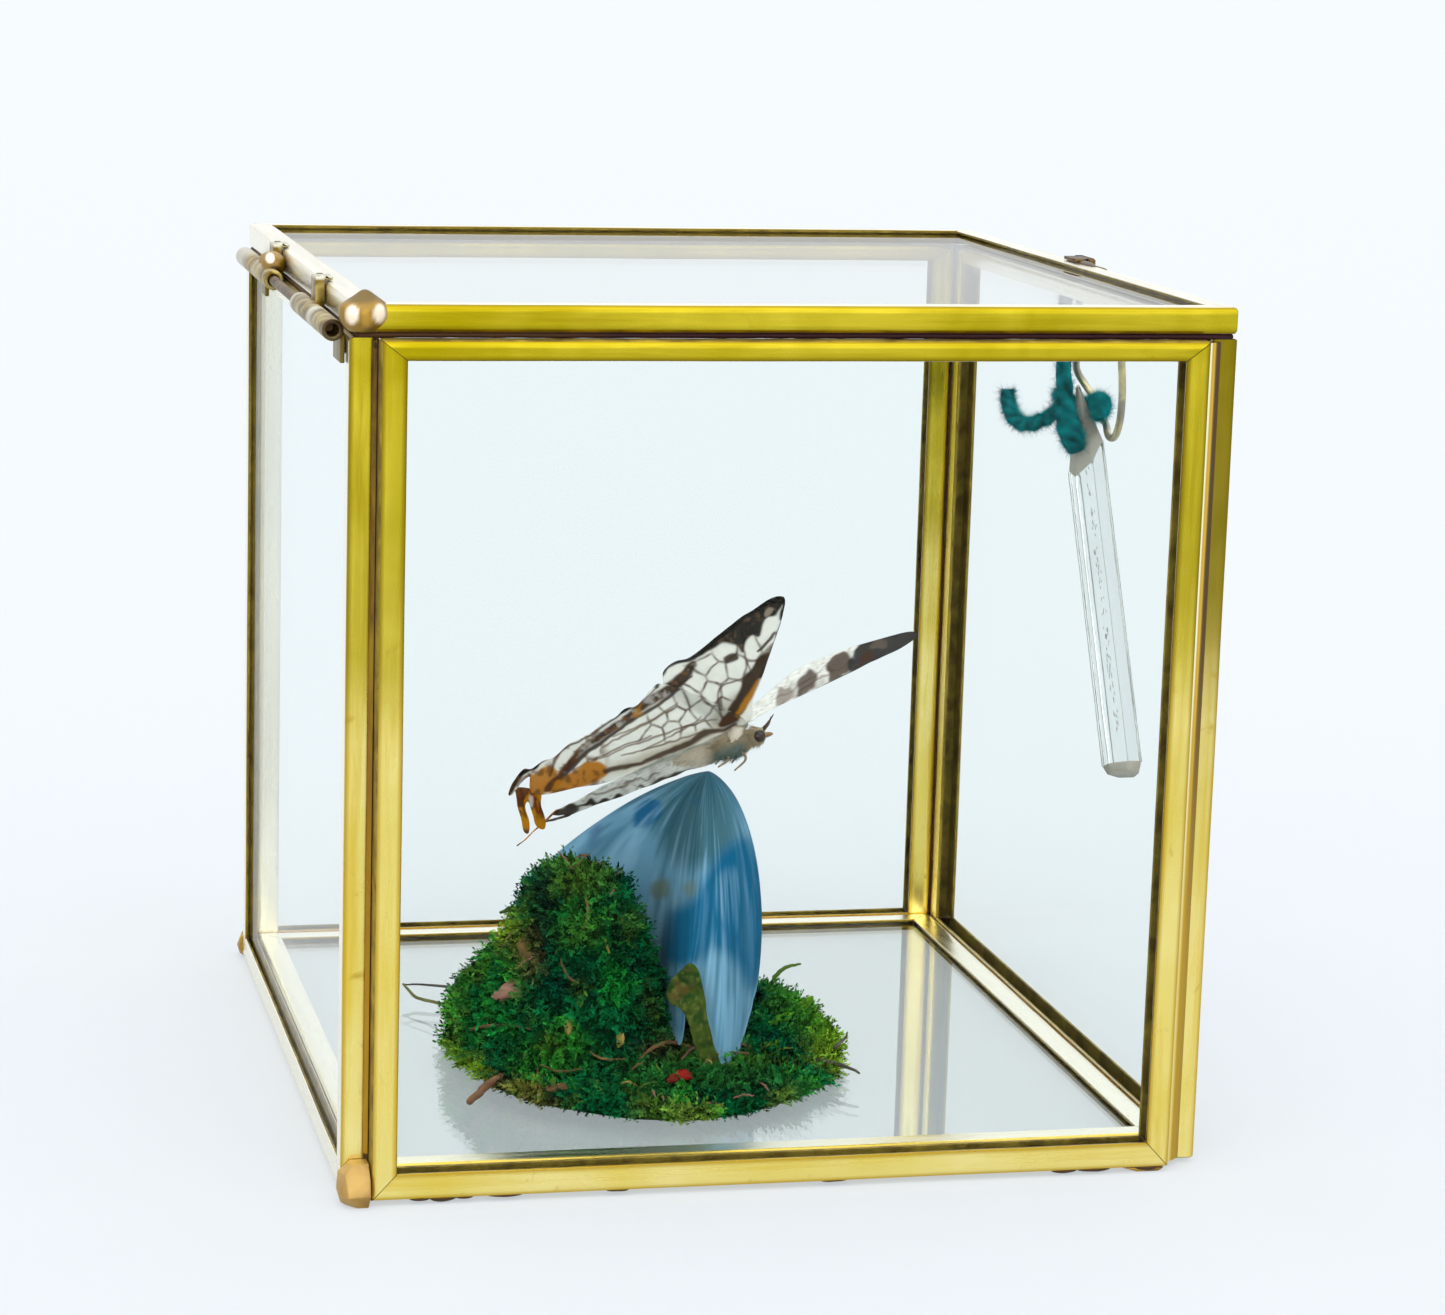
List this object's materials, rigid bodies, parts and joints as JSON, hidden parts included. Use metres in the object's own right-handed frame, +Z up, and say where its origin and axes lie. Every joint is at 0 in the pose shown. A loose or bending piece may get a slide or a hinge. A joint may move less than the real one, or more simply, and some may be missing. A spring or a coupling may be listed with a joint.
{
  "type": "insect in a glass display box",
  "caption": "Small glass box edged in brass channel with a hinged lid, holding a spread butterfly on a blue bloom and a moss mound; a crystal hangs from the lid's wire clasp.",
  "frame": {"origin": "middle of the whole object's outline on the surface it stands on, under the solder feet", "axes": "+X to the right along the front, +Y to the back, +Z up"},
  "size_m": [0.1108, 0.109, 0.1012],
  "materials": {
    "brass": "polished, streaked with patina",
    "solder": "rough, stained solder",
    "glass": "clear",
    "crystal": "clear with faint streaks",
    "moss": "dry moss",
    "bloom": "dried petals, streaked",
    "butterfly": "scaled wings, cream with brown and orange bands",
    "yarn": "fuzzy yarn"
  },
  "bodies": {
    "case": {"front_glass": "glass", "front_rail_bottom": "brass", "front_rail_top": "brass", "front_post_left": "brass", "front_post_right": "brass", "back_glass": "glass", "back_rail_bottom": "brass", "back_rail_top": "brass", "back_post_left": "brass", "back_post_right": "brass", "left_glass": "glass", "left_rail_bottom": "brass", "left_rail_top": "brass", "left_post_front": "brass", "left_post_back": "brass", "right_glass": "glass", "right_rail_bottom": "brass", "right_rail_top": "brass", "right_post_front": "brass", "right_post_back": "brass", "floor_glass": "glass", "floor_rail_front": "brass", "floor_rail_back": "brass", "floor_rail_left": "brass", "floor_rail_right": "brass", "solder_seam_front_left": "solder", "solder_seam_front_right": "solder", "solder_seam_back_left": "solder", "solder_seam_back_right": "solder", "solder_foot_front_left": "solder", "solder_foot_front_right": "solder", "solder_foot_back_left": "solder", "solder_foot_back_right": "solder", "hinge_knuckle_front": "brass", "hinge_knuckle_back": "brass", "hinge_pin": "brass", "moss_mound": "moss", "blue_bloom": "bloom", "butterfly": "butterfly"},
    "lid": {"lid_glass": "glass", "lid_rail_front": "brass", "lid_rail_back": "brass", "lid_rail_left": "brass", "lid_rail_right": "brass", "lid_knuckle_front": "brass", "lid_knuckle_back": "brass", "lid_corner_solder": "solder", "clasp_eye": "brass"},
    "clasp": {"clasp_loop": "brass", "crystal_point": "crystal", "yarn_tie": "yarn"}
  },
  "joints": [
    {"name": "lid_hinge", "type": "hinge", "parent": "case", "child": "lid", "pos_m": [-0.05423, 0, 0.0966], "axis": [0, -1, 0], "range_deg": [0, 110]},
    {"name": "clasp_swing", "type": "hinge", "parent": "lid", "child": "clasp", "pos_m": [0.04827, 0.0035, 0.09825], "axis": [0, -1, 0], "range_deg": [0, 100]}
  ]
}
